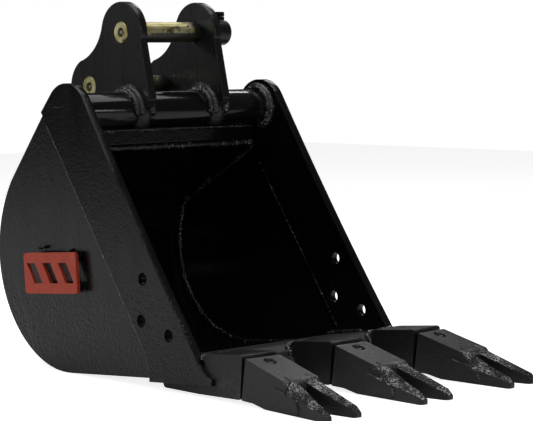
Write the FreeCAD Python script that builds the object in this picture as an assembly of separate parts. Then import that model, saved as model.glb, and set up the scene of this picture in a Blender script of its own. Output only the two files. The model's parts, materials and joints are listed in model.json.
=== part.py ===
import FreeCAD, Part
import math

# Digging bucket for a 3 to 4 tonne excavator, millimetres.
# Frame: origin on the axis of the upper (dipper) pin, half way between the two ears.
# X runs across the bucket, the teeth point to -Y, Z is up with the bucket resting on its
# heel and tooth tips. "left" is the -X side, "right" the +X side.

V = FreeCAD.Vector

# ---- driving dimensions --------------------------------------------------------------
WIDTH = 450.0            # over the two side strips
STRIP_T = 16.0           # side strip thickness
PLATE_T = 8.0            # side plate, wrapper, head plate thickness
PLATE_X = 221.5          # outer face of a side plate where it meets its strip
TAPER_DEG = 3.15         # side plates lean inward towards the back
TOOTH_LOW = -557.0       # underside of the teeth
TOOTH_TIP = -634.0       # y of the tooth tips

PIN_D = 35.0
PIN_RUN = 0.05           # radial running clearance of a pin in its bores
PIN_LEN = 234.0
LINK_Y = 85.0            # link pin axis, seen from the dipper pin axis
LINK_Z = -93.0
EAR_GAP = 150.0
EAR_T = 16.0
EAR_TOP_R = 51.5
EAR_LINK_R = 50.0
BOSS_D = 45.0
BOSS_LEN = 54.0
BOSS_ROUND = 4.0
GREASE_D = 16.0          # recess for the grease nipple in a pin end
GREASE_DEPTH = 10.0
GREASE_BORE = 5.0

SET_D = 10.0             # set bolt over the pin end in each boss
SET_X = 134.0
SET_RUN = 0.05
SET_AF = 16.0
SET_SEAT = 3.2           # depth of the washer seat below the crown of the boss
SET_HEAD = 7.8
SET_NUT = 7.0
WASHER_D = 20.0
WASHER_T = 1.6

TUBE_Y = -20.5
TUBE_Z = -131.5
TUBE_D = 63.5
TUBE_WALL = 8.0
LOBE_R = 52.0            # rounded top corner of a side strip
LOBE_Z = -135.0

HEEL_Y = 5.0             # centre of the rolled wrapper
HEEL_Z = -379.0
HEEL_R = 185.0           # outer radius of the rolled wrapper
LIP_T = 25.0
LIP_REAR = -200.0
LIP_FRONT = -338.0
LIP_RISE_DEG = 9.6       # the cutting edge rises towards the teeth
BELLY_DEG = 5.2          # flat part of the wrapper between the heel and the cutting edge
ROOF_DEG = 32.0          # roof of the bowl, falling towards the back
KNEE_R = 25.0            # inner radius between roof and wrapper
THROAT_Y = -7.0

SIDE_HOLE_D = 20.5
SIDE_HOLES = [(-212.0, -387.7), (-208.1, -454.5), (-274.0, -471.3)]

TOOTH_W = 68.0
TOOTH_X = 184.0
TOOTH_SPLAY = 4.0        # the two corner teeth point slightly outward, degrees
NOSE_GAP = 0.5
LOCK_PIN_D = 16.0
LOCK_RUN = 0.05
LOCK_TILT = 11.0         # the tooth axis points down by this much, degrees
LOCK_AT = V(0, -473.5, -520.0)
LOCK_TOP = 28.0          # pin end above the tooth axis, just under the tooth's top face
LOCK_BOTTOM = -27.0
LOCK_RECESS = 20.0       # mouth of the hole in the tooth's top face

BADGE_W = 140.0
BADGE_H = 68.0
BADGE_T = 6.0
BADGE_X = -233.0
BADGE_C = V(0, 14.5, -396.8)
BADGE_TURN = -5.0        # degrees
STUD_D = 9.0             # standoffs between badge and side plate

RIM_X = WIDTH / 2
STRIP_IN = RIM_X - STRIP_T
EAR_IN = EAR_GAP / 2
EAR_OUT = EAR_IN + EAR_T
SET_TOP = BOSS_D / 2 - SET_SEAT                     # washer seat above the pin axis
SPLIT_P = V(0, 24.6, -161.9)                        # a point of the strip / side plate joint
SPLIT_D = V(0, -0.5785, -0.8157)                    # direction of that joint, downward


# ---- helpers -------------------------------------------------------------------------
def wire_yz(x, start, steps):
    """Closed wire at the given x. A step is a (y, z) corner or a pair of points of an arc."""
    edges = []
    here = V(x, start[0], start[1])
    for step in list(steps) + [start]:
        if isinstance(step[0], tuple):
            mid = V(x, step[0][0], step[0][1])
            end = V(x, step[1][0], step[1][1])
            edges.append(Part.Arc(here, mid, end).toShape())
        else:
            end = V(x, step[0], step[1])
            if end.distanceToPoint(here) < 1e-6:
                continue
            edges.append(Part.LineSegment(here, end).toShape())
        here = end
    return Part.Wire(edges)


def slab(x0, x1, start, steps):
    """Plate between x0 and x1 with the given outline in the YZ plane."""
    return Part.Face(wire_yz(x0, start, steps)).extrude(V(x1 - x0, 0, 0))


def rod(x0, x1, y, z, dia):
    return Part.makeCylinder(dia / 2, x1 - x0, V(x0, y, z), V(1, 0, 0))


def post(x, y, z0, z1, dia):
    return Part.makeCylinder(dia / 2, z1 - z0, V(x, y, z0), V(0, 0, 1))


def hexagon(across, z0, z1, x, y):
    radius = across / math.sqrt(3.0)
    pts = [V(x + radius * math.cos(math.radians(60 * i)),
             y + radius * math.sin(math.radians(60 * i)), z0) for i in range(7)]
    return Part.Face(Part.makePolygon(pts)).extrude(V(0, 0, z1 - z0))


def arc_point(cy, cz, radius, degrees):
    a = math.radians(degrees)
    return (cy + radius * math.cos(a), cz + radius * math.sin(a))


def mirrored(shape):
    return shape.mirror(V(0, 0, 0), V(1, 0, 0))


def cut_all(shape, tools):
    for tool in tools:
        shape = shape.cut(tool)
    return shape


def biggest(shape):
    """The main solid of a cut shape, without crumbs."""
    return max(shape.Solids, key=lambda s: s.Volume)


nodes = {}


# ---- side strips ---------------------------------------------------------------------
def build_strip():
    """Left side strip: rounded top corner round the tube end, long blade, toe, 3 holes."""
    front = arc_point(TUBE_Y, LOBE_Z, LOBE_R, 145.5)
    strip = slab(-RIM_X, -STRIP_IN, front, [
        (arc_point(TUBE_Y, LOBE_Z, LOBE_R, 95), arc_point(TUBE_Y, LOBE_Z, LOBE_R, 41)),
        (45.8, -132.0),
        (-215.8, -500.9),
        ((-224.6, -522.0), (-227.3, -549.2)),
        (-373.2, -537.9),
        (-373.2, -527.5),
        ((-349.5, -516.5), (-335.4, -497.9)),
        ((-195.6, -304.3), front),
    ])
    for y, z in SIDE_HOLES:
        strip = strip.cut(rod(-RIM_X - 1, -STRIP_IN + 1, y, z, SIDE_HOLE_D))
    return strip


strip_left = build_strip()
strip_right = mirrored(strip_left)
nodes["side_strip_left"] = strip_left
nodes["side_strip_right"] = strip_right


# ---- side plates ---------------------------------------------------------------------
def lean(shape):
    """Turn a left side shape about the strip joint so that it closes in towards the back."""
    turned = shape.copy()
    turned.rotate(V(-PLATE_X, SPLIT_P.y, SPLIT_P.z), SPLIT_D, TAPER_DEG)
    return turned


heel_end = arc_point(HEEL_Y, HEEL_Z, HEEL_R, -95.2)
side_outline = [
    (144.8, -250.4),
    ((171.5, -296.5), (187.6, -349.1)),
    (arc_point(HEEL_Y, HEEL_Z, HEEL_R, -43), heel_end),
    (-226.9, -543.8),
    ((-224.2, -522.0), (-215.8, -500.9)),
]
plate_left = lean(slab(-PLATE_X, -PLATE_X + PLATE_T, (46.0, -137.6), side_outline))
plate_left = plate_left.cut(strip_left)
plate_left = biggest(plate_left)
plate_right = mirrored(plate_left)
nodes["side_plate_left"] = plate_left
nodes["side_plate_right"] = plate_right

# everything outside the inner faces of the leaning side plates, behind the strips
beyond = lean(slab(-PLATE_X - 60, -PLATE_X + PLATE_T, (45.5, -132.4), [
    (330.0, -132.4), (330.0, -640.0), (-314.5, -640.0)]))
beyond_right = mirrored(beyond)


def between_sides(start, steps):
    """Cross plate of the given section, trimmed to fit between the sides."""
    plate = slab(-PLATE_X, PLATE_X, start, steps)
    plate = cut_all(plate, [beyond, beyond_right, strip_left, strip_right])
    return biggest(plate)


# ---- wrapper, head plate, throat plate, back plate -----------------------------------
slope = math.tan(math.radians(BELLY_DEG))
wrap_bottom = (LIP_REAR, heel_end[1] + (heel_end[0] - LIP_REAR) * slope)
inner_end = arc_point(HEEL_Y, HEEL_Z, HEEL_R - PLATE_T, -95.2)
wrap_top_in = (LIP_REAR, inner_end[1] + (inner_end[0] - LIP_REAR) * slope)
nodes["wrapper_plate"] = between_sides(
    arc_point(HEEL_Y, HEEL_Z, HEEL_R, 9.3), [
        (arc_point(HEEL_Y, HEEL_Z, HEEL_R, -43), heel_end),
        wrap_bottom,
        wrap_top_in,
        inner_end,
        (arc_point(HEEL_Y, HEEL_Z, HEEL_R - PLATE_T, -43),
         arc_point(HEEL_Y, HEEL_Z, HEEL_R - PLATE_T, 9.3)),
    ])


def round_corner(before, corner, after, radius):
    """Tangent points and mid point of a fillet between two straight runs."""
    c = V(0, corner[0], corner[1])
    u = (V(0, before[0], before[1]) - c).normalize()
    w = (V(0, after[0], after[1]) - c).normalize()
    half = u.getAngle(w) / 2
    reach = radius / math.tan(half)
    a = c + u * reach
    b = c + w * reach
    middle = (u + w).normalize()
    m = c + middle * (radius / math.sin(half) - radius)
    return (a.y, a.z), ((m.y, m.z), (b.y, b.z))


# roof of the bowl, falling towards the back, then the knee into the wrapper
roof_fall = math.radians(ROOF_DEG)
roof_dir = V(0, math.cos(roof_fall), -math.sin(roof_fall))
roof_up = V(0, math.sin(roof_fall), math.cos(roof_fall))
roof_in = V(0, THROAT_Y, -198.1)
roof_out = roof_in + roof_up * PLATE_T
knee_in = (173.3, -310.6)
knee_out = (182.6, -307.2)
end_in = arc_point(HEEL_Y, HEEL_Z, HEEL_R - PLATE_T, 9.3)
end_out = arc_point(HEEL_Y, HEEL_Z, HEEL_R, 9.3)
in_a, in_arc = round_corner((roof_in.y, roof_in.z), knee_in, end_in, KNEE_R)
out_a, out_arc = round_corner(end_out, knee_out, (roof_out.y, roof_out.z), KNEE_R + PLATE_T)
nodes["inner_head_plate"] = between_sides(
    (roof_in.y, roof_in.z), [in_a, in_arc, end_in, end_out, out_a, out_arc,
                             (roof_out.y, roof_out.z)])

tube_solid = rod(-STRIP_IN, STRIP_IN, TUBE_Y, TUBE_Z, TUBE_D)
roof_room = slab(-300, 300, (roof_out.y, roof_out.z), [
    (roof_out.y + roof_dir.y * 260, roof_out.z + roof_dir.z * 260),
    (roof_out.y + roof_dir.y * 260, -420.0), (roof_out.y - 40, -420.0),
    (roof_out.y - 40, roof_out.z + 25.0)])
throat = between_sides((THROAT_Y, -150.0), [
    (THROAT_Y + PLATE_T, -150.0), (THROAT_Y + PLATE_T, -205.0), (THROAT_Y, -205.0)])
nodes["throat_plate"] = biggest(cut_all(throat, [tube_solid, roof_room]))

# outer back plate: tangent to the tube, down to the knee
back_dir = V(0, 0.657, -0.754)
back_up = V(0, 0.754, 0.657)
tube_c = V(0, TUBE_Y, TUBE_Z)
b0 = tube_c + back_up * (TUBE_D / 2)
b1 = b0 + back_dir * 246.0
b2 = tube_c + back_up * (TUBE_D / 2 + PLATE_T) + back_dir * 250.0
b3 = tube_c + back_up * (TUBE_D / 2 + PLATE_T)
back = between_sides((b0.y, b0.z), [(b1.y, b1.z), (b2.y, b2.z), (b3.y, b3.z)])
nodes["box_back_plate"] = biggest(back.cut(nodes["inner_head_plate"]))

nodes["torque_tube"] = tube_solid.cut(
    rod(-STRIP_IN - 1, STRIP_IN + 1, TUBE_Y, TUBE_Z, TUBE_D - 2 * TUBE_WALL))

# ---- cutting edge --------------------------------------------------------------------
lip_slope = math.tan(math.radians(LIP_RISE_DEG))
lip_bottom_rear = wrap_bottom[1]
lip_top_rear = lip_bottom_rear + LIP_T
run = LIP_REAR - LIP_FRONT
nodes["cutting_edge"] = biggest(cut_all(slab(-STRIP_IN, STRIP_IN, (LIP_REAR, lip_bottom_rear), [
    (LIP_REAR, lip_top_rear),
    (LIP_FRONT, lip_top_rear + run * lip_slope),
    (LIP_FRONT - 12.0, lip_top_rear + run * lip_slope - 9.0),
    (LIP_FRONT - 14.0, lip_bottom_rear + (run + 14.0) * lip_slope),
]), [strip_left, strip_right]))


# ---- hanger ears and bosses ----------------------------------------------------------
def build_ear():
    """Left hanger ear: round the dipper pin, round the link pin, foot on tube and back plate."""
    top_front = arc_point(0, 0, EAR_TOP_R, 191)
    top_back = arc_point(0, 0, EAR_TOP_R, 14)
    rear_in = arc_point(LINK_Y, LINK_Z, EAR_LINK_R, 62)
    hollow_r = 80.0
    mid_top = ((top_back[0] + rear_in[0]) / 2, (top_back[1] + rear_in[1]) / 2)
    chord = V(0, rear_in[0] - top_back[0], rear_in[1] - top_back[1])
    sag = hollow_r - math.sqrt(hollow_r ** 2 - chord.Length ** 2 / 4)
    inward = V(0, chord.z, -chord.y).normalize() * sag
    hollow_mid = (mid_top[0] + inward.y, mid_top[1] + inward.z)
    ear = slab(-EAR_OUT, -EAR_IN, top_front, [
        (arc_point(0, 0, EAR_TOP_R, 100), top_back),
        (hollow_mid, rear_in),
        (arc_point(LINK_Y, LINK_Z, EAR_LINK_R, 30), arc_point(LINK_Y, LINK_Z, EAR_LINK_R, -4)),
        (129.5, -262.0),
        (TUBE_Y, TUBE_Z),
        (-66.0, -125.0),
        (-74.4, -111.5),
    ])
    below = slab(-EAR_OUT - 5, -EAR_IN + 5, (b3.y, b3.z), [
        (b3.y + back_dir.y * 330, b3.z + back_dir.z * 330), (-60.0, -420.0), (TUBE_Y, TUBE_Z)])
    ear = cut_all(ear, [
        tube_solid, below,
        rod(-EAR_OUT - 1, -EAR_IN + 1, 0, 0, PIN_D + 2 * PIN_RUN),
        rod(-EAR_OUT - 1, -EAR_IN + 1, LINK_Y, LINK_Z, PIN_D + 2 * PIN_RUN)])
    return biggest(ear)


ear_left = build_ear()
nodes["hanger_ear_left"] = ear_left
nodes["hanger_ear_right"] = mirrored(ear_left)


def build_boss(y, z):
    """Pin boss on the right ear with the upright hole of the set bolt."""
    boss = rod(EAR_OUT, EAR_OUT + BOSS_LEN, y, z, BOSS_D)
    rim = [e for e in boss.Edges if abs(e.BoundBox.XMin - EAR_OUT - BOSS_LEN) < 0.1
           and e.BoundBox.YLength > 10]
    boss = boss.makeFillet(BOSS_ROUND, rim)
    boss = boss.cut(rod(EAR_OUT - 1, EAR_OUT + BOSS_LEN + 1, y, z, PIN_D + 2 * PIN_RUN))
    flat = Part.makeBox(WASHER_D + 3, WASHER_D + 3, 10,
                        V(SET_X - WASHER_D / 2 - 1.5, y - WASHER_D / 2 - 1.5, z + SET_TOP))
    boss = boss.cut(flat.common(post(SET_X, y, z + 10, z + 40, WASHER_D + 1.5)))
    return boss.cut(post(SET_X, y, z + 5, z + 40, SET_D + 2 * SET_RUN))


def build_pin(y, z):
    """Cross pin with a grease recess and a small notch in the near end."""
    x0 = -EAR_OUT
    pin = rod(x0, x0 + PIN_LEN, y, z, PIN_D)
    rims = [e for e in pin.Edges if e.BoundBox.YLength > 10 and e.BoundBox.XLength < 0.1]
    pin = pin.makeChamfer(1.0, rims)
    pin = pin.cut(rod(x0 - 1, x0 + GREASE_DEPTH, y, z, GREASE_D))
    pin = pin.cut(rod(x0 + GREASE_DEPTH - 1, x0 + 70, y, z, GREASE_BORE))
    notch = Part.makeBox(5, 5, 7, V(x0 - 1, y - 2.5, z - PIN_D / 2 - 3))
    notch.rotate(V(x0, y, z), V(1, 0, 0), -28)
    return pin.cut(notch)


def build_nipple(y, z):
    """Grease nipple sunk in the pin end."""
    x0 = -EAR_OUT
    shank = rod(x0 + GREASE_DEPTH, x0 + 18, y, z, GREASE_BORE)
    collar = rod(x0 + 6.5, x0 + GREASE_DEPTH, y, z, 9.0)
    neck = rod(x0 + 3.5, x0 + 6.5, y, z, 4.6)
    ball = rod(x0 + 0.8, x0 + 3.5, y, z, 6.4)
    ball = ball.makeChamfer(0.8, [e for e in ball.Edges if len(e.Vertexes) == 1])
    return shank.fuse([collar, neck, ball]).removeSplitter()


def build_set_bolt(y, z):
    """Hex set bolt; its tip stops just above the pin."""
    top = z + SET_TOP
    shank = post(SET_X, y, z + PIN_D / 2 + 0.3, top + 9.0, SET_D)
    head = hexagon(SET_AF, top + 9.0, top + 9.0 + SET_HEAD, SET_X, y)
    cone = Part.makeCone(SET_AF * 0.66, SET_AF * 0.44, SET_HEAD + 2.6, V(SET_X, y, top + 9.0))
    return shank.fuse(head.common(cone)).removeSplitter()


def build_nut(y, z):
    top = z + SET_TOP
    nut = hexagon(SET_AF, top + WASHER_T, top + WASHER_T + SET_NUT, SET_X, y)
    cone = Part.makeCone(SET_AF * 0.66, SET_AF * 0.46, SET_NUT + 2.6, V(SET_X, y, top + WASHER_T))
    return nut.common(cone).cut(post(SET_X, y, top, top + 12, SET_D))


def build_washer(y, z):
    top = z + SET_TOP
    return post(SET_X, y, top, top + WASHER_T, WASHER_D).cut(
        post(SET_X, y, top - 1, top + 3, SET_D + 1.0))


for name, y, z in [("dipper", 0.0, 0.0), ("link", LINK_Y, LINK_Z)]:
    nodes[name + "_pin_boss"] = build_boss(y, z)
    nodes[name + "_pin"] = build_pin(y, z)
    nodes[name + "_grease_nipple"] = build_nipple(y, z)
    nodes[name + "_lock_bolt"] = build_set_bolt(y, z)
    nodes[name + "_jam_nut"] = build_nut(y, z)
    nodes[name + "_washer"] = build_washer(y, z)


# ---- adapters, teeth, lock pins ------------------------------------------------------
def rect_yz(y, z, half_w, half_h, tilt):
    """Rectangle across the tooth axis, half_w along X and half_h along the tilted upright."""
    s = math.sin(math.radians(tilt))
    c = math.cos(math.radians(tilt))
    corners = [(-1, -1), (1, -1), (1, 1), (-1, 1), (-1, -1)]
    return Part.makePolygon([V(i * half_w, y - j * half_h * s, z + j * half_h * c)
                             for i, j in corners])


def nose_body(grow):
    """Wedge nose of the adapter, or the socket of the tooth when grown."""
    base = rect_yz(-426.0, -516.5, 24.0 + grow, 21.0 + grow, LOCK_TILT)
    tip = rect_yz(-530.0 - grow, -540.5, 17.0 + grow, 7.0 + grow, LOCK_TILT)
    return Part.makeLoft([base, tip], True, True)


half = TOOTH_W / 2
LOCK_AXIS = V(0, math.sin(math.radians(LOCK_TILT)), math.cos(math.radians(LOCK_TILT)))


def lock_hole(dia, low, high):
    return Part.makeCylinder(dia / 2, high - low, LOCK_AT + LOCK_AXIS * low, LOCK_AXIS)


def build_adapter():
    """Cast adapter: shoulder in front of the lip, strap under it, nose inside the tooth."""
    lip_z = lip_bottom_rear + (LIP_REAR + 250.0) * lip_slope
    front_z = lip_bottom_rear + (LIP_REAR + 352.0) * lip_slope
    body = slab(-half, half, (-356.0, -490.8), [
        (-443.0, -481.9),
        (-438.0, -551.0),
        (-335.0, -555.6),
        (-254.0, -557.0),
        ((-248.0, -554.5), (-246.4, -549.0)),
        (-250.0, lip_z),
        (-352.0, front_z),
        (-352.0, -507.0),
        ((-351.0, -496.0), (-356.0, -490.8)),
    ])
    corners = [e for e in body.Edges if e.BoundBox.XLength > 60
               and e.BoundBox.YMax < -436 or (e.BoundBox.XLength > 60
                                              and e.BoundBox.ZMin > -500)]
    body = body.makeFillet(5.0, corners)
    body = body.fuse(nose_body(0.0)).cut(nodes["cutting_edge"])
    return body.cut(lock_hole(LOCK_PIN_D + 2 * LOCK_RUN, -60, 60)).removeSplitter()


def section_xz(y, side, points):
    pts = [V(side * px, y, pz) for px, pz in points]
    return Part.makePolygon(pts + [pts[0]])


def build_prong(side):
    """One point of the tooth: ridged on top, closing to a blunt chisel end, pad on its flank."""
    root = [(34.0, TOOTH_LOW), (34.0, -526.0), (21.0, -504.0), (4.0, -509.5), (4.0, TOOTH_LOW)]
    near = [(35.0, TOOTH_LOW), (35.0, -546.0), (30.0, -539.5), (22.5, -546.0), (22.5, TOOTH_LOW)]
    end = [(34.0, TOOTH_LOW + 1), (34.0, -549.5), (30.0, -545.0), (24.0, -549.0),
           (24.0, TOOTH_LOW + 1)]
    body = Part.makeLoft([section_xz(-526.0, side, root), section_xz(TOOTH_TIP + 6.0, side, near),
                          section_xz(TOOTH_TIP, side, end)], True, True)
    pad = slab(0, 7.0, (-519.0, -520.0), [
        (-568.0, -533.0), (-576.0, -548.0), (-571.0, -554.5), (-521.0, -553.0)])
    pad = pad.makeChamfer(1.6, [e for e in pad.Edges if e.BoundBox.XMin > 6.9])
    if side < 0:
        pad = mirrored(pad)
    pad.translate(V(side * 29.8, 0, 0))
    return body.fuse(pad)


def build_tooth():
    """Cast twin point tooth slipped over the adapter nose."""
    tooth = slab(-half, half, (-450.6, -486.8), [
        (-536.0, -508.5),
        ((-541.5, -514.0), (-543.0, -524.0)),
        (-543.0, TOOTH_LOW),
        (-497.0, TOOTH_LOW),
        (-468.0, -551.8),
        (-442.0, -551.2),
    ])
    tooth = tooth.fuse([build_prong(-1), build_prong(1)])
    tooth = tooth.cut(nose_body(NOSE_GAP))
    tooth = tooth.cut(lock_hole(LOCK_RECESS, 19.0, 60))
    tooth = tooth.cut(lock_hole(LOCK_PIN_D + 2 * LOCK_RUN, -60, 30))
    return biggest(tooth.removeSplitter())


def build_lock_pin():
    pin = lock_hole(LOCK_PIN_D, LOCK_BOTTOM, LOCK_TOP)
    pin = pin.makeChamfer(1.5, [e for e in pin.Edges if e.Length > 40 and len(e.Vertexes) == 1])
    return pin.cut(lock_hole(6.0, LOCK_TOP - 4.0, 60))


def place(shape, index):
    """Put a shape built on the centre line at the left (-1), centre (0) or right (1)."""
    moved = shape.copy()
    if index:
        moved.rotate(V(0, -356, 0), V(0, 0, 1), index * TOOTH_SPLAY)
        moved.translate(V(index * TOOTH_X, 0, 0))
    return moved


adapter = build_adapter()
tooth = build_tooth()
lock_pin = build_lock_pin()
for index, word in [(-1, "left"), (0, "centre"), (1, "right")]:
    seated = cut_all(place(adapter, index), [strip_left, strip_right, nodes["cutting_edge"]])
    nodes["tooth_adapter_" + word] = biggest(seated)
    nodes["tooth_" + word] = place(tooth, index)
    nodes["tooth_lock_pin_" + word] = place(lock_pin, index)


# ---- badge on the left side plate ----------------------------------------------------
def build_badge():
    """Plain plate with rounded ends and a generic pattern of three slanted slots."""
    plate = Part.makeBox(BADGE_T, BADGE_W, BADGE_H,
                         V(BADGE_X, BADGE_C.y - BADGE_W / 2, BADGE_C.z - BADGE_H / 2))
    edges = [e for e in plate.Edges if e.BoundBox.XLength > BADGE_T - 0.1]
    plate = plate.makeFillet(7.0, edges)
    for k in range(-1, 2):
        y = BADGE_C.y + 42.0 * k
        slot = slab(BADGE_X - 1, BADGE_X + BADGE_T + 1, (y - 20, BADGE_C.z - 17), [
            (y + 2, BADGE_C.z - 17), (y + 20, BADGE_C.z + 17), (y - 2, BADGE_C.z + 17)])
        plate = plate.cut(slot)
    plate.rotate(BADGE_C, V(1, 0, 0), BADGE_TURN)
    return plate


badge = build_badge()
nodes["badge_plate"] = badge
studs = []
plate_room = lean(slab(-PLATE_X, -PLATE_X + 90, (330, -100), [
    (330, -700), (-330, -700), (-330, -100)]))
for dy, dz in [(-60, 24), (60, 24), (-60, -24), (60, -24)]:
    a = math.radians(BADGE_TURN)
    y = BADGE_C.y + dy * math.cos(a) - dz * math.sin(a)
    z = BADGE_C.z + dy * math.sin(a) + dz * math.cos(a)
    stud = rod(BADGE_X + BADGE_T, -150, y, z, STUD_D)
    studs.append(biggest(stud.cut(plate_room)))
nodes["badge_standoffs"] = Part.makeCompound(studs)

# ---- write ---------------------------------------------------------------------------
for node, shape in nodes.items():
    shape.exportStep("parts/" + node + ".step")
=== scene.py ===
import json
import math

import bmesh
import bpy
from mathutils import Matrix, Vector, noise
from mathutils.bvhtree import BVHTree


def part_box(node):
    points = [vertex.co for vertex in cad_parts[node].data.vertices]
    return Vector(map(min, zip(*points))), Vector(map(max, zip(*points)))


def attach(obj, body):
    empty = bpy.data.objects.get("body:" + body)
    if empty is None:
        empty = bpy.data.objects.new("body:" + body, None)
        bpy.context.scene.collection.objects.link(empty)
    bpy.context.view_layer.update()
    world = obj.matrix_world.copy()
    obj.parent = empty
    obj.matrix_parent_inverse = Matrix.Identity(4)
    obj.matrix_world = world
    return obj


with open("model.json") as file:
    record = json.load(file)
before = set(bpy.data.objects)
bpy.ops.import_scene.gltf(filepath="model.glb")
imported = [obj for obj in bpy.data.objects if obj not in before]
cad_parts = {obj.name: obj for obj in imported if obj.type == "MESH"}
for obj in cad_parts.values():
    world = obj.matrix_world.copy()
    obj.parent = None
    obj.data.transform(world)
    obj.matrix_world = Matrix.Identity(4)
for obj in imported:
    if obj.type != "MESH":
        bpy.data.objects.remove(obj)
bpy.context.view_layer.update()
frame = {"nodes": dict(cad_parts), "record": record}

MM = 0.001
ROOT = "bucket"
SIDES = (("left", -1), ("right", 1))
TEETH = (("left", -1), ("centre", 0), ("right", 1))
TOOTH_X = 184 * MM                       # middle of a corner tooth
TOOTH_SPLAY = math.radians(4.0)          # corner teeth point outward
ADAPTER_W = 68 * MM                      # width of a tooth adapter

BEAD_STEP = 1.3 * MM                     # spacing of the rings of a weld bead
BEAD_PITCH = 4.2 * MM                    # spacing of its ripples
BEAD_SIDES = 10

ROOM_LIGHT = 0.045                       # background as the surfaces see it
FLOOR_LIFT = 0.85                        # glow of the floor, for camera rays only
FLOOR_REACH = 6.0


# ---- places read from the frame ------------------------------------------------------
def centre(node):
    """Middle of a CAD node's box."""
    low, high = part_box(node)
    return (low + high) / 2


tube_low, tube_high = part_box("torque_tube")
TUBE_C = (tube_low + tube_high) / 2
TUBE_R = (tube_high.z - tube_low.z) / 2
STRIP_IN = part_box("side_strip_right")[0].x
EAR_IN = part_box("hanger_ear_right")[0].x
EAR_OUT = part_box("hanger_ear_right")[1].x


def tree_of(*nodes):
    """Ray casting tree over some CAD nodes."""
    bm = bmesh.new()
    for node in nodes:
        bm.from_mesh(frame["nodes"][node].data)
    tree = BVHTree.FromBMesh(bm)
    bm.free()
    return tree


# ---- materials -----------------------------------------------------------------------
NONE = (0.0, 0.0, 0.0)                   # an empty mask
ALL = (1.0, 1.0, 1.0)                    # a full one
# grey mixed in near the floor: a painted reflection of the floor
FLOOR_REFLECTION_TINT = (0.015, 0.015, 0.015)
DRY_DUST = (0.022, 0.022, 0.021)
SCUFFED = (0.040, 0.040, 0.039)
CHIPPED = (0.14, 0.14, 0.135)
WELD_GLINT_WHITE = (0.75, 0.75, 0.75)
# white flecks on the weld beads: painted glints
RUBBED_STEEL = (0.20, 0.20, 0.20)
# light grey on the tops of the tooth points: painted glints
GLINT = (0.45, 0.45, 0.45)
# black on the pins: overspray, and painted shade on their undersides
OVERSPRAY_AND_SHADE = (0.012, 0.012, 0.011)


class Nodes:
    """Small helper that adds and links the shader nodes of one material."""

    def __init__(self, name):
        self.material = bpy.data.materials.new(name)
        self.material.use_nodes = True
        self.tree = self.material.node_tree
        self.shader = self.tree.nodes["Principled BSDF"]
        self.place = self.add("ShaderNodeTexCoord").outputs["Object"]

    def add(self, kind, **values):
        node = self.tree.nodes.new(kind)
        for key, value in values.items():
            setattr(node, key, value)
        return node

    def link(self, a, b):
        self.tree.links.new(a, b)

    def noise(self, scale, detail=3.0, rough=0.55, distort=0.0, stretch=None):
        node = self.add("ShaderNodeTexNoise")
        node.inputs["Scale"].default_value = scale
        node.inputs["Detail"].default_value = detail
        node.inputs["Roughness"].default_value = rough
        node.inputs["Distortion"].default_value = distort
        source = self.place
        if stretch:
            mapping = self.add("ShaderNodeMapping")
            mapping.inputs["Scale"].default_value = stretch
            self.link(source, mapping.inputs["Vector"])
            source = mapping.outputs["Vector"]
        self.link(source, node.inputs["Vector"])
        return node.outputs["Fac"]

    def cells(self, scale, feature="F1"):
        node = self.add("ShaderNodeTexVoronoi", feature=feature)
        node.inputs["Scale"].default_value = scale
        self.link(self.place, node.inputs["Vector"])
        return node.outputs["Distance"]

    def ramp(self, value, stops):
        """Greys or colours at positions, from a 0 to 1 value."""
        node = self.add("ShaderNodeValToRGB")
        items = node.color_ramp.elements
        while len(items) < len(stops):
            items.new(0.5)
        for item, (at, colour) in zip(items, stops):
            item.position = at
            grey = isinstance(colour, (int, float))
            item.color = (colour, colour, colour, 1) if grey else (*colour, 1)
        self.link(value, node.inputs["Fac"])
        return node.outputs["Color"]

    def mix(self, factor, a, b, how="MIX"):
        node = self.add("ShaderNodeMix", data_type="RGBA", blend_type=how)
        for value, socket in ((factor, node.inputs[0]), (a, node.inputs[6]), (b, node.inputs[7])):
            if isinstance(value, bpy.types.NodeSocket):
                self.link(value, socket)
            elif isinstance(value, (int, float)):
                socket.default_value = value
            else:
                socket.default_value = (*value, 1)
        return node.outputs[2]

    def bump(self, height, strength, distance, under=None):
        node = self.add("ShaderNodeBump")
        node.inputs["Strength"].default_value = strength
        node.inputs["Distance"].default_value = distance
        self.link(height, node.inputs["Height"])
        if under:
            self.link(under, node.inputs["Normal"])
        return node.outputs["Normal"]

    def both(self, mask, other):
        """Where two masks overlap."""
        return self.mix(mask, NONE, other)

    def along(self, axis, operation, value):
        """Place along one axis in metres, shifted or flipped to be above zero for a ramp."""
        split = self.add("ShaderNodeSeparateXYZ")
        self.link(self.place, split.inputs["Vector"])
        moved = self.add("ShaderNodeMath", operation=operation)
        moved.inputs[1].default_value = value
        self.link(split.outputs[axis], moved.inputs[0])
        return moved.outputs["Value"]

    def facing(self, normal, direction):
        """How far one of the surface's normals points in a direction."""
        dot = self.add("ShaderNodeVectorMath", operation="DOT_PRODUCT")
        dot.inputs[1].default_value = direction
        self.link(self.add("ShaderNodeNewGeometry").outputs[normal], dot.inputs[0])
        return dot.outputs["Value"]

    def near_ground(self):
        """From 0 at the badge to 1 just above the floor."""
        return self.ramp(self.along("Z", "ADD", 1.0), [(0.49, 1.0), (0.62, 0.0)])

    def edge_wear(self, low, high):
        """White on convex edges, from the mesh's own pointiness."""
        geometry = self.add("ShaderNodeNewGeometry")
        return self.ramp(geometry.outputs["Pointiness"], [(low, 0.0), (high, 1.0)])

    def done(self, colour, rough, normal=None):
        """Links the results to the shader and returns the finished material."""
        self.link(colour, self.shader.inputs["Base Color"])
        self.link(rough, self.shader.inputs["Roughness"])
        if normal:
            self.link(normal, self.shader.inputs["Normal"])
        return self.material


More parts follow.
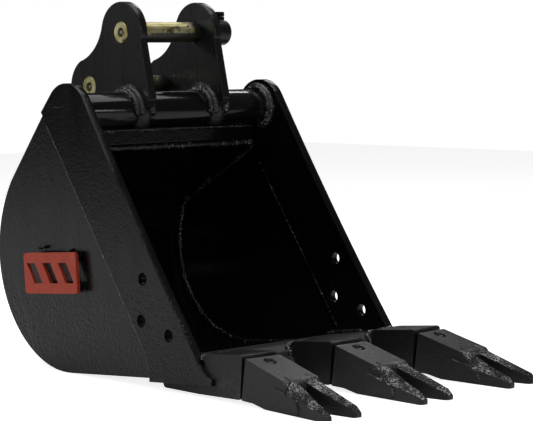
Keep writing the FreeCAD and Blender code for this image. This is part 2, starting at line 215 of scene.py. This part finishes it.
def paint_material(name, base=0.006, gloss=0.16, peel=1.0, dust_and_floor_sheen=1.0, specular=0.5):
    """Black enamel over rolled plate: fine orange peel, a painted reflection of the floor that
    lightens it towards the bottom, faint dust, dull streaks and scuffs.
    """
    n = Nodes(name)
    cloud = n.noise(7.0, 5.0, 0.6)
    colour = n.ramp(cloud, [(0.3, base * 0.85), (0.7, base * 1.2)])
    low = n.near_ground()
    # painted reflection of the floor: the colour gets lighter towards the bottom
    colour = n.mix(n.ramp(low, [(0.0, 0.0), (1.0, 0.6 * dust_and_floor_sheen)]), colour, FLOOR_REFLECTION_TINT)
    dust = n.noise(30.0, 6.0, 0.7, 0.6)
    colour = n.mix(n.ramp(dust, [(0.58, 0.0), (0.80, 0.4 * dust_and_floor_sheen)]), colour, DRY_DUST)
    scuff = n.ramp(n.noise(46.0, 8.0, 0.78, 1.4, (1.0, 0.3, 1.0)),
                   [(0.645, 0.0), (0.675, 0.8 * dust_and_floor_sheen)])
    colour = n.mix(scuff, colour, SCUFFED)
    specks = n.ramp(n.cells(95.0), [(0.035, 0.8), (0.06, 0.0)])
    sparse = n.ramp(n.noise(20.0, 2.0), [(0.55, 0.0), (0.62, dust_and_floor_sheen)])
    colour = n.mix(n.both(sparse, specks), colour, CHIPPED)
    streaks = n.noise(8.0, 5.0, 0.65, 0.3, (1.0, 4.0, 0.7))
    rough = n.ramp(streaks, [(0.35, gloss), (0.72, gloss + 0.10 * dust_and_floor_sheen)])
    rough = n.mix(scuff, rough, (0.5, 0.5, 0.5))
    lumps = n.bump(n.noise(110.0, 2.0, 0.5), 0.30 * peel, 0.0016)
    peeled = n.bump(n.noise(240.0, 2.0, 0.5), 0.55 * peel, 0.0010, lumps)
    for node in (lumps.node, peeled.node):
        full = node.inputs["Strength"].default_value
        n.link(n.ramp(low, [(0.0, full * 0.3), (1.0, full * 1.4)]), node.inputs["Strength"])
    n.shader.inputs["Specular IOR Level"].default_value = specular
    return n.done(colour, rough, peeled)


def weld_material(name):
    """Glossy black paint pooled over a rippled bead, with white flecks painted on as glints."""
    n = Nodes(name)
    grain = n.noise(300.0, 4.0, 0.7)
    spots = n.ramp(n.cells(300.0), [(0.16, 1.0), (0.30, 0.0)])
    patch = n.ramp(n.noise(30.0, 4.0, 0.65), [(0.46, 0.0), (0.54, 1.0)])
    glint_fleck = n.both(patch, spots)
    # painted glints: white flecks on the bead
    colour = n.mix(glint_fleck, n.ramp(grain, [(0.3, 0.007), (0.75, 0.018)]), WELD_GLINT_WHITE)
    rough = n.ramp(grain, [(0.3, 0.08), (0.8, 0.24)])
    n.shader.inputs["Coat Weight"].default_value = 0.6
    n.shader.inputs["Coat Roughness"].default_value = 0.06
    return n.done(colour, rough, n.bump(grain, 0.85, 0.0024))


def casting_material(name, base, light, wear_and_glint=0.5):
    """Sand cast steel under thin dark paint: satin skin, rubbed edges.

    Returns the nodes with colour, roughness and normal still to be linked.
    """
    n = Nodes(name)
    grit = n.noise(330.0, 5.0, 0.75)
    cloud = n.noise(9.0, 3.0, 0.5)
    colour = n.ramp(cloud, [(0.3, base), (0.75, light)])
    colour = n.mix(n.ramp(grit, [(0.6, 0.0), (0.8, 0.3)]), colour, (light * 1.8,) * 3)
    rubbed = n.ramp(n.noise(70.0, 5.0, 0.75), [(0.45, 0.0), (0.58, wear_and_glint)])
    colour = n.mix(n.both(rubbed, n.edge_wear(0.54, 0.62)), colour, RUBBED_STEEL)
    rough = n.ramp(grit, [(0.3, 0.30), (0.8, 0.46)])
    pits = n.bump(n.ramp(n.cells(150.0), [(0.0, 0.0), (0.5, 1.0)]), 0.25, 0.0014)
    skin = n.bump(grit, 0.5, 0.0013, pits)
    n.shader.inputs["Specular IOR Level"].default_value = 0.42
    return n, colour, rough, skin


def adapter_material(name):
    """The plain casting of the tooth adapters."""
    n, colour, rough, skin = casting_material(name, 0.008, 0.012, 0.35)
    return n.done(colour, rough, skin)


def tooth_material(name):
    """The casting, with glints painted on the upward faces of the two points, over a coarse bumped
    skin.
    """
    n, colour, rough, skin = casting_material(name, 0.017, 0.023, 0.6)
    front = n.ramp(n.along("Y", "MULTIPLY", -1.0), [(0.534, 0.0), (0.542, 1.0)])
    on_top = n.ramp(n.facing("True Normal", (0.0, 0.0, 1.0)), [(0.30, 0.0), (0.45, 1.0)])
    on_points = n.both(front, on_top)
    coarse = n.cells(380.0)
    wear_and_glint = n.both(n.ramp(n.noise(40.0, 3.0, 0.6), [(0.46, 0.0), (0.60, 1.0)]),
                  n.ramp(coarse, [(0.45, 0.0), (0.60, 1.0)]))
    # painted glints: light grey on the upward faces of the points
    colour = n.mix(n.both(on_points, wear_and_glint), colour, GLINT)
    lump = n.both(on_points, coarse)
    rough = n.mix(on_points, rough, (0.16, 0.16, 0.16))
    return n.done(colour, rough, n.bump(lump, 1.0, 0.0022, skin))


def zinc_material(name, sprayed=0.0):
    """Yellow zinc plating with stains; black underneath as painted shade, and black overspray in
    patches and next to the right ear.
    """
    n = Nodes(name)
    stain = n.noise(34.0, 5.0, 0.65, 0.8, (0.5, 1.0, 1.0))
    colour = n.ramp(stain, [(0.28, (0.50, 0.42, 0.13)), (0.5, (0.74, 0.66, 0.32)),
                            (0.72, (0.86, 0.84, 0.62))])
    # painted shade: the downward-facing sides of the pins turn black
    under = n.ramp(n.facing("Normal", (0.0, -0.3, -1.0)), [(0.25, 0.0), (0.42, 1.0)])
    patchy = n.mix(0.5, n.noise(60.0, 6.0, 0.75, 0.6), n.noise(14.0, 2.0, 0.5))
    overspray_and_shade = n.ramp(patchy, [(0.565 - sprayed, 0.0), (0.585 - sprayed, 0.95)])
    overspray_and_shade = n.mix(under, overspray_and_shade, n.ramp(patchy, [(0.40, 0.2), (0.47, 0.98)]))
    across_ears = n.along("X", "ADD", 0.5)
    at_right_ear = n.ramp(across_ears, [(0.553, 0.0), (0.562, 1.0)])
    right_of_left_ear = n.ramp(across_ears, [(0.412, 0.0), (0.416, 1.0)])
    overspray_and_shade = n.mix(at_right_ear, overspray_and_shade, ALL)
    overspray_and_shade = n.mix(right_of_left_ear, n.ramp(patchy, [(0.61, 0.0), (0.63, 0.9)]), overspray_and_shade)
    colour = n.mix(overspray_and_shade, colour, OVERSPRAY_AND_SHADE)
    rings = n.noise(600.0, 2.0, 0.5, 0.0, (1.0, 0.03, 0.03))
    rough = n.mix(overspray_and_shade, n.ramp(stain, [(0.3, 0.24), (0.7, 0.40)]), (0.3, 0.3, 0.3))
    n.link(n.mix(overspray_and_shade, (0.8, 0.8, 0.8), NONE), n.shader.inputs["Metallic"])
    return n.done(colour, rough, n.bump(rings, 0.12, 0.0004))


def steel_material(name, tone=0.42, metallic=0.9):
    """Bare or thinly plated turned steel."""
    n = Nodes(name)
    cloud = n.noise(110.0, 5.0, 0.7)
    colour = n.ramp(cloud, [(0.3, tone * 0.55), (0.7, tone)])
    rough = n.ramp(cloud, [(0.3, 0.25), (0.75, 0.5)])
    n.shader.inputs["Metallic"].default_value = metallic
    return n.done(colour, rough, n.bump(n.noise(700.0, 2.0), 0.15, 0.0004))


def badge_material(name):
    """Red-orange enamel with a little weathering and laser-cut edges."""
    n = Nodes(name)
    cloud = n.noise(60.0, 5.0, 0.6)
    colour = n.ramp(cloud, [(0.3, (0.42, 0.040, 0.016)), (0.7, (0.54, 0.066, 0.028))])
    chips = n.ramp(n.noise(210.0, 6.0, 0.8, 0.8), [(0.68, 0.0), (0.72, 0.9)])
    colour = n.mix(chips, colour, (0.05, 0.02, 0.015))
    rough = n.ramp(cloud, [(0.3, 0.36), (0.75, 0.55)])
    return n.done(colour, rough, n.bump(n.noise(380.0, 3.0), 0.25, 0.0007))


paint = paint_material("black_enamel", base=0.0025, gloss=0.20, peel=1.5, specular=0.38)
# lighter copy of the black enamel for the ears and bosses: painted light on their lit faces
paint_ear_lit = paint_material("black_enamel_ear_lit", base=0.009, gloss=0.26, peel=0.7, dust_and_floor_sheen=0.4)
paint_tube = paint_material("black_enamel_tube", base=0.005, gloss=0.13, peel=0.8, dust_and_floor_sheen=0.15)
# lighter copy for the weld toes under the ears: a painted reflection on their flat faces
paint_toe_lit = paint_material("black_enamel_toe_lit", base=0.014, gloss=0.36, peel=0.6, dust_and_floor_sheen=0.5)
# much lighter copy for the cutting edge: painted light on its lit top
paint_lip_lit = paint_material("black_enamel_lip_lit", base=0.075, gloss=0.34, peel=1.0, dust_and_floor_sheen=1.0)
paint_inside = paint_material("black_enamel_inside", base=0.004, gloss=0.15, peel=0.6, dust_and_floor_sheen=0.3)
weld = weld_material("painted_weld")
casting = adapter_material("adapter_casting")
tooth_skin = tooth_material("tooth_casting")
zinc = zinc_material("yellow_zinc")
zinc_sprayed = zinc_material("yellow_zinc_oversprayed", 0.055)
nipple_steel = steel_material("nipple_steel", 0.5)
washer_steel = steel_material("washer_steel", 0.62)
bolt_black = paint_material("painted_bolt", base=0.008, gloss=0.16, peel=0.4, dust_and_floor_sheen=0.3)
badge_red = badge_material("badge_enamel")

LOOK = {
    "black_paint": paint,
    "black_casting": casting,
    "worn_casting": tooth_skin,
    "zinc_pin": zinc,
    "nipple_steel": nipple_steel,
    "bright_steel": washer_steel,
    "badge_paint": badge_red,
}
SPECIAL = {"link_pin": zinc_sprayed}
for material, nodes in (
        (bolt_black, ("tooth_lock_pin_left", "tooth_lock_pin_centre", "tooth_lock_pin_right",
                      "dipper_lock_bolt", "link_lock_bolt", "dipper_jam_nut", "link_jam_nut")),
        (paint_tube, ("torque_tube", "box_back_plate", "throat_plate")),
        (paint_lip_lit, ("cutting_edge",)),
        (paint_ear_lit, ("hanger_ear_left", "hanger_ear_right", "dipper_pin_boss", "link_pin_boss")),
        (paint_inside, ("wrapper_plate", "inner_head_plate"))):
    SPECIAL.update(dict.fromkeys(nodes, material))
EDGE = {"worn_casting": 2.2, "black_casting": 2.5, "black_paint": 1.5}      # bevel, mm
TURNED = ("boss", "lock_pin")            # round pieces keep the edges of the CAD


def dress_cad():
    """Gives every CAD node its material, and softens the sharp edges of the painted and cast ones
    that are not turned.
    """
    slot_of = {s["node"]: s["material_slot"] for s in frame["record"]["subparts"]}
    for node, obj in frame["nodes"].items():
        slot_name = slot_of[node]
        obj.data.materials.clear()
        obj.data.materials.append(SPECIAL.get(node, LOOK[slot_name]))
        if slot_name in EDGE and not any(word in node for word in TURNED):
            soften(obj, EDGE[slot_name] * MM)


def soften(obj, width):
    """Rounds the sharp edges, leaving the mesh itself as it came."""
    weld_mod = obj.modifiers.new("join", "WELD")
    weld_mod.merge_threshold = 1e-5
    bevel = obj.modifiers.new("edge", "BEVEL")
    bevel.width = width
    bevel.segments = 2
    bevel.limit_method = "ANGLE"
    bevel.angle_limit = math.radians(38)
    bevel.harden_normals = True


# ---- weld beads ----------------------------------------------------------------------
def resample(points, step, closed):
    """Evenly spaced points along a polyline."""
    pts = [Vector(p) for p in points]
    if closed:
        pts.append(pts[0].copy())
    out = [pts[0].copy()]
    left = step
    for a, b in zip(pts, pts[1:]):
        length = (b - a).length
        while left <= length:
            out.append(a.lerp(b, left / length))
            left += step
        left -= length
    if closed:
        out.pop()
    return out


def bead(name, points, width, closed=False, rise=1.0, outward=None, seed=0, calm=1.0,
         skin=None):
    """A laid weld bead along a path: a tube with ripples, wander and swelling.

    rise flattens the bead along outward(point), its direction away from the metal;
    calm below 1 smooths it.
    """
    path = resample(points, BEAD_STEP, closed)
    count = len(path)
    bm = bmesh.new()
    rows = []
    side = None
    for i, p in enumerate(path):
        before = path[i - 1] if (i or closed) else path[i]
        after = path[(i + 1) % count] if (i < count - 1 or closed) else path[i]
        along = (after - before).normalized()
        if side is None:
            side = along.orthogonal().normalized()
        if outward:
            side = along.cross(outward(p))
        side = (side - along * side.dot(along)).normalized()
        up = along.cross(side)
        s = i * BEAD_STEP
        spot = Vector((s * 90 + seed * 7.3, seed * 1.7, 0))
        ripple = 0.22 * noise.noise(spot) + 0.07 * math.sin(2 * math.pi * s / BEAD_PITCH)
        swell = 1.0 + calm * ripple
        if not closed:
            ends = min(i, count - 1 - i) / 3.0
            swell *= 0.35 + 0.65 * min(1.0, ends)
        wander = Vector(noise.noise_vector(spot * 0.5 + Vector((3, 9, 4)))) * width * 0.10 * calm
        row = []
        for k in range(BEAD_SIDES):
            a = 2 * math.pi * k / BEAD_SIDES
            lump = 1.0 + 0.10 * calm * noise.noise(Vector((s * 420, k * 0.9, seed)))
            off = (side * math.cos(a) + up * math.sin(a) * rise) * width * 0.5 * swell * lump
            row.append(bm.verts.new(p + wander + off))
        rows.append(row)
    pairs = list(zip(rows, rows[1:]))
    if closed:
        pairs.append((rows[-1], rows[0]))
    for a, b in pairs:
        for k in range(BEAD_SIDES):
            j = (k + 1) % BEAD_SIDES
            bm.faces.new((a[k], a[j], b[j], b[k]))
    if not closed:
        bm.faces.new(rows[0])
        bm.faces.new(list(reversed(rows[-1])))
    bmesh.ops.recalc_face_normals(bm, faces=bm.faces)
    mesh = bpy.data.meshes.new(name)
    bm.to_mesh(mesh)
    bm.free()
    mesh.shade_smooth()
    obj = bpy.data.objects.new(name, mesh)
    bpy.context.scene.collection.objects.link(obj)
    mesh.materials.append(skin or weld)
    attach(obj, ROOT)
    return obj


def ring_yz(x, c, radius, start, end, count=60):
    """Points of an arc in a plane of constant x, angles in degrees from +Y towards +Z."""
    out = []
    for i in range(count + 1):
        a = math.radians(start + (end - start) * i / count)
        out.append(Vector((x, c.y + radius * math.cos(a), c.z + radius * math.sin(a))))
    return out


def from_tube(p):
    """Direction from the axis of the torque tube to a point."""
    return Vector((0, p.y - TUBE_C.y, p.z - TUBE_C.z)).normalized()


def tube_beads():
    """Round the tube ends on the strips, and the saddles of the ears on the tube."""
    for word, sx in SIDES:
        for k, (off, grow, width) in enumerate(((3, 4.0, 13), (8, 2.0, 9))):
            bead("weld_tube_end_%d_%s" % (k, word),
                 ring_yz(sx * (STRIP_IN - off * MM), TUBE_C, TUBE_R + grow * MM, -62, 258, 90),
                 width * MM, seed=sx + 5 + k)
        for face, x, away in (("outer", EAR_OUT, 1), ("inner", EAR_IN, -1)):
            for k, (off, grow, width) in enumerate(((3.0, 5.0, 16), (9.5, 1.5, 12))):
                arc = ring_yz(sx * (x + away * off * MM), TUBE_C, TUBE_R + grow * MM,
                              190 + 4 * k, 42)
                bead("weld_ear_saddle_%s_%d_%s" % (face, k, word), arc,
                     width * MM, seed=sx * 3 + len(face) + k, calm=0.55)
        middle = sx * (EAR_IN + EAR_OUT) / 2
        bead("weld_ear_toe_" + word, ring_yz(middle, TUBE_C, TUBE_R - 1 * MM, 166, 236, 30),
             33 * MM, rise=0.5, outward=from_tube, seed=sx * 11, calm=0.4, skin=paint_toe_lit)


BOWL_EYE = Vector((0, -0.03, -0.40))     # in the open bowl, with the whole seam in view
BOWL_NEAR = 0.18                         # how far to the side the rays start
BOWL_FROM, BOWL_SWEEP = 101, 258         # degrees
BOWL_RAYS = 120
BOWL_INSET = 2.2 * MM


def inside_seams():
    """Seams between the side plates and the cross plates, inside the bowl."""
    cross = tree_of("wrapper_plate", "inner_head_plate", "throat_plate", "cutting_edge")
    for word, sx in SIDES:
        wall = tree_of("side_plate_" + word, "side_strip_" + word)
        near = Vector((sx * BOWL_NEAR, BOWL_EYE.y, BOWL_EYE.z))
        path = []
        for i in range(BOWL_RAYS + 1):
            a = math.radians(BOWL_FROM - BOWL_SWEEP * i / BOWL_RAYS)
            ray = Vector((0, math.cos(a), math.sin(a)))
            hit = cross.ray_cast(near, ray)
            if hit[0] is None:
                continue
            edge = hit[0] - ray * BOWL_INSET
            side = wall.ray_cast(Vector((0, edge.y, edge.z)), Vector((sx, 0, 0)))
            if side[0] is None:
                continue
            path.append(Vector((side[0].x - sx * BOWL_INSET, edge.y, edge.z)))
        bead("weld_bowl_seam_" + word, path, 9 * MM, seed=sx + 21)


def across(name, y, z, half, width, seed):
    """A straight bead across the bucket, reaching half to either side of the middle."""
    bead(name, [Vector((-half, y, z)), Vector((half, y, z))], width, seed=seed)


def cross_seams():
    """Straight seams that run across the bucket."""
    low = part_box("throat_plate")[0]
    under_tube = TUBE_C.z - TUBE_R - 1.0 * MM
    across("weld_head_to_throat", low.y - 1.0 * MM, low.z - 1.0 * MM, STRIP_IN, 10 * MM, 31)
    across("weld_throat_to_tube", low.y - 1.5 * MM, under_tube, STRIP_IN, 8 * MM, 32)
    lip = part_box("cutting_edge")
    wrap = tree_of("wrapper_plate")
    hit = wrap.ray_cast(Vector((0, lip[1].y + 4 * MM, -0.45)), Vector((0, 0, -1)))
    across("weld_lip_to_wrapper", lip[1].y + 3 * MM, hit[0].z + 3 * MM, STRIP_IN, 9 * MM, 33)
    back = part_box("box_back_plate")
    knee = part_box("inner_head_plate")
    across("weld_back_to_knee", back[1].y + 1.5 * MM, back[0].z + 2 * MM,
           back[1].x - 22 * MM, 9 * MM, 34)
    across("weld_wrapper_to_head", knee[1].y - 1.5 * MM, knee[0].z, back[1].x - 20 * MM, 7 * MM, 35)


FOOT_FROM = 0.020                        # y where the bead starts
FOOT_SHORT = 0.009                       # the bead stops this far before the ear does
FOOT_POINTS = 24


def ear_foot_beads():
    """Where the ears stand on the outer back plate."""
    back = tree_of("box_back_plate")
    for word, sx in SIDES:
        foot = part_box("hanger_ear_" + word)
        for face, x in (("outer", EAR_OUT + 2.5 * MM), ("inner", EAR_IN - 2.5 * MM)):
            path = []
            for i in range(FOOT_POINTS + 1):
                y = FOOT_FROM + (foot[1].y - FOOT_SHORT - FOOT_FROM) * i / FOOT_POINTS
                hit = back.ray_cast(Vector((sx * x, y, 0.1)), Vector((0, 0, -1)))
                if hit[0]:
                    path.append(hit[0] + hit[1] * 2.5 * MM)
            bead("weld_ear_foot_%s_%s" % (face, word), path, 9 * MM, seed=sx * 5 + len(face) + 40)


def boss_beads():
    """Round the foot of each pin boss, on the outside of the right ear."""
    for name in ("dipper", "link"):
        c = centre(name + "_pin")
        bead("weld_%s_boss" % name, ring_yz(EAR_OUT + 2 * MM, c, 24.2 * MM, 0, 354, 70),
             6 * MM, closed=True, seed=len(name))


SEAM_TOP, SEAM_FALL = -0.150, 0.385      # z of the seam's top, and how far it runs down
SEAM_POINTS = 60
SEAM_INSIDE = (-0.515, -0.225)           # z between which it also shows in the bowl


def strip_seams():
    """Where the side plates butt on the strips: one seam outside, one inside."""
    for word, sx in SIDES:
        strip = tree_of("side_strip_" + word)
        plate_x = max(abs(v.x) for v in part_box("side_plate_" + word))
        outer = []
        inner = []
        for i in range(SEAM_POINTS):
            z = SEAM_TOP - SEAM_FALL * i / (SEAM_POINTS - 1)
            hit = strip.ray_cast(Vector((sx * (plate_x + 1 * MM), 0.3, z)), Vector((0, -1, 0)))
            if hit[0] is None:
                continue
            outer.append(Vector((sx * plate_x, hit[0].y + 1.0 * MM, z)))
            if SEAM_INSIDE[0] < z < SEAM_INSIDE[1]:
                inner.append(Vector((sx * (STRIP_IN + 2.5 * MM), hit[0].y + 1.5 * MM, z)))
        bead("weld_strip_outside_" + word, outer, 6 * MM, seed=sx * 2 + 50)
        bead("weld_strip_inside_" + word, inner, 6 * MM, seed=sx * 2 + 60)


def lump(name, at, size, seed, squash=0.6, normal=(0, 0, 1)):
    """A frozen puddle of weld metal."""
    bm = bmesh.new()
    bmesh.ops.create_icosphere(bm, subdivisions=4, radius=size / 2)
    flat = Vector(normal).normalized()
    for v in bm.verts:
        p = v.co
        grow = 1.0 + 0.25 * noise.noise(p * 150 + Vector((seed, 0, 0)))
        grow += 0.06 * noise.noise(p * 600 + Vector((0, seed, 0)))
        p = p * grow
        v.co = p - flat * p.dot(flat) * (1 - squash)
    mesh = bpy.data.meshes.new(name)
    bm.to_mesh(mesh)
    bm.free()
    mesh.shade_smooth()
    mesh.materials.append(weld)
    obj = bpy.data.objects.new(name, mesh)
    bpy.context.scene.collection.objects.link(obj)
    obj.location = at
    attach(obj, ROOT)


def adapter_welds():
    """Beads that hold each adapter to the cutting edge, and the puddles at their ends."""
    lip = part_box("cutting_edge")
    for word, index in TEETH:
        turn = Matrix.Rotation(index * TOOTH_SPLAY, 3, "Z")
        pivot = Vector((index * TOOTH_X, lip[0].y - 4 * MM, 0))

        def at(x, y, z):
            """A point beside this tooth, turned with its splay."""
            world = turn @ Vector((x, y - pivot.y, 0))
            return Vector((world.x + pivot.x, world.y + pivot.y, z))

        top = lip[1].z
        edge = ADAPTER_W / 2
        bead("weld_adapter_top_" + word,
             [at(-edge, lip[0].y + 9 * MM, top - 1 * MM),
              at(edge, lip[0].y + 9 * MM, top - 1 * MM)],
             12 * MM, seed=index + 71)
        for side in (-1, 1):
            x = side * (edge + 1.5 * MM)
            if abs(at(x, lip[0].y, 0).x) > STRIP_IN - 2 * MM:
                continue
            name = "%s_%s" % (word, "a" if side < 0 else "b")
            bead("weld_adapter_side_" + name,
                 [at(x, lip[0].y + 10 * MM, top), at(x, lip[0].y + 1 * MM, top - 12 * MM),
                  at(x, lip[0].y + 1 * MM, top - 24 * MM)], 10 * MM, seed=index * 2 + side + 80)
            bead("weld_adapter_strap_" + name,
                 [at(x, lip[0].y + 6 * MM, top - 28 * MM),
                  at(x, lip[0].y + 95 * MM, top - 42 * MM)],
                 9 * MM, seed=index * 2 + side + 90)
            lump("weld_adapter_puddle_" + name, at(x + side * MM, lip[0].y + 3 * MM, top - 26 * MM),
                 24 * MM, index * 5 + side, 0.8, (side, 0, 0))


TACKS = ((0.78, 0.99), (0.24, 1.0))      # places on the badge, as shares of its box


def badge_tacks():
    """Tack welds that show at the top edge of the badge plate."""
    low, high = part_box("badge_plate")
    wall = tree_of("side_plate_left")
    for k, (y, z) in enumerate(TACKS):
        at = Vector((low.x - 0.05, low.y + (high.y - low.y) * y, low.z + (high.z - low.z) * z))
        hit = wall.ray_cast(at, Vector((1, 0, 0)))
        if hit[0]:
            bead("weld_badge_tack_%d" % k,
                 [hit[0] + Vector((1 * MM, 0, 0)), Vector((high.x - 1 * MM, at.y, at.z))],
                 7 * MM, seed=k + 100)


strip_seams()
adapter_welds()
badge_tacks()
tube_beads()
inside_seams()
cross_seams()
ear_foot_beads()
boss_beads()
dress_cad()


# ---- floor, light, camera ------------------------------------------------------------
def floor():
    """A pale floor under the heel and the teeth, sloped to suit both."""
    mesh = bpy.data.meshes.new("floor")
    heel_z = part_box("wrapper_plate")[0].z
    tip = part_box("tooth_centre")[0]
    slope = (tip.z - heel_z) / tip.y
    corners = [(x * FLOOR_REACH, y * FLOOR_REACH, heel_z + slope * y * FLOOR_REACH)
               for x, y in ((-1, -1), (1, -1), (1, 1), (-1, 1))]
    mesh.from_pydata(corners, [], [(0, 1, 2, 3)])
    obj = bpy.data.objects.new("floor", mesh)
    bpy.context.scene.collection.objects.link(obj)
    n = Nodes("floor_matt")
    tone = n.ramp(n.noise(2.0, 2.0), [(0.3, 0.86), (0.7, 0.9)])
    path = n.add("ShaderNodeLightPath")
    n.shader.inputs["Emission Color"].default_value = (1, 1, 1, 1)
    lift = n.add("ShaderNodeMath", operation="MULTIPLY")
    lift.inputs[1].default_value = FLOOR_LIFT
    n.link(path.outputs["Is Camera Ray"], lift.inputs[0])
    n.link(lift.outputs["Value"], n.shader.inputs["Emission Strength"])
    mesh.materials.append(n.done(tone, n.ramp(n.noise(30.0), [(0.3, 0.7), (0.7, 0.8)])))


AIM = (0, -0.2, -0.3)
LAMPS = (                                # name, place, aim, size, watts
    ("top_soft", (0.1, -0.3, 3.2), AIM, (4.0, 4.0), 95),
    ("left_low", (-3.2, 0.3, 0.3), AIM, (0.8, 1.2), 3),
    ("right_rear", (2.4, 1.6, 1.6), AIM, (0.7, 1.2), 8),
    ("front_soft", (0.2, -3.6, 0.30), AIM, (1.6, 0.4), 7),
    ("floor_left", (-2.0, 1.8, 0.8), (-0.9, 0.7, -0.56), (0.4, 0.4), 15),
    ("spark", (-1.3, -3.0, 1.5), AIM, (0.3, 0.3), 6),
)


def area_light(name, at, aim, size, power):
    """A rectangular lamp that points at aim."""
    data = bpy.data.lights.new(name, "AREA")
    data.shape = "RECTANGLE"
    data.size, data.size_y = size
    data.energy = power
    obj = bpy.data.objects.new(name, data)
    bpy.context.scene.collection.objects.link(obj)
    obj.location = at
    obj.rotation_euler = (Vector(aim) - Vector(at)).to_track_quat("-Z", "Y").to_euler()


def studio():
    """White background; the room itself is dim, so the paint mirrors mostly floor and lamps."""
    world = bpy.data.worlds.new("studio")
    world.use_nodes = True
    tree = world.node_tree
    dim = tree.nodes["Background"]
    dim.inputs["Color"].default_value = (0.95, 0.97, 1.0, 1)
    dim.inputs["Strength"].default_value = ROOM_LIGHT
    white = tree.nodes.new("ShaderNodeBackground")
    white.inputs["Color"].default_value = (1, 1, 1, 1)
    white.inputs["Strength"].default_value = 1.0
    path = tree.nodes.new("ShaderNodeLightPath")
    mix = tree.nodes.new("ShaderNodeMixShader")
    tree.links.new(path.outputs["Is Camera Ray"], mix.inputs["Fac"])
    tree.links.new(dim.outputs["Background"], mix.inputs[1])
    tree.links.new(white.outputs["Background"], mix.inputs[2])
    tree.links.new(mix.outputs["Shader"], tree.nodes["World Output"].inputs["Surface"])
    bpy.context.scene.world = world
    bpy.context.scene.view_settings.view_transform = "Standard"
    for lamp in LAMPS:
        area_light(*lamp)


SENSOR = 36.0                            # mm
LENS = 2000.0 / 533.0 * SENSOR           # long lens, on an image 533 wide
CAMERA_AT = (-2.2483, -2.6042, -0.0054)
CAMERA_TURN = math.radians(-43.8)        # from straight in front, towards the left side
CAMERA_LIFT = math.radians(5.0)


def camera():
    """Long lens, a little above the middle of the bucket, off its left front corner."""
    data = bpy.data.cameras.new("camera")
    data.sensor_width = SENSOR
    data.lens = LENS
    data.clip_end = 50.0
    obj = bpy.data.objects.new("camera", data)
    bpy.context.scene.collection.objects.link(obj)
    obj.location = CAMERA_AT
    level = math.cos(CAMERA_LIFT)
    back = Vector((math.sin(CAMERA_TURN) * level, -math.cos(CAMERA_TURN) * level,
                   math.sin(CAMERA_LIFT)))
    obj.rotation_euler = back.to_track_quat("Z", "Y").to_euler()
    bpy.context.scene.camera = obj


floor()
studio()
camera()
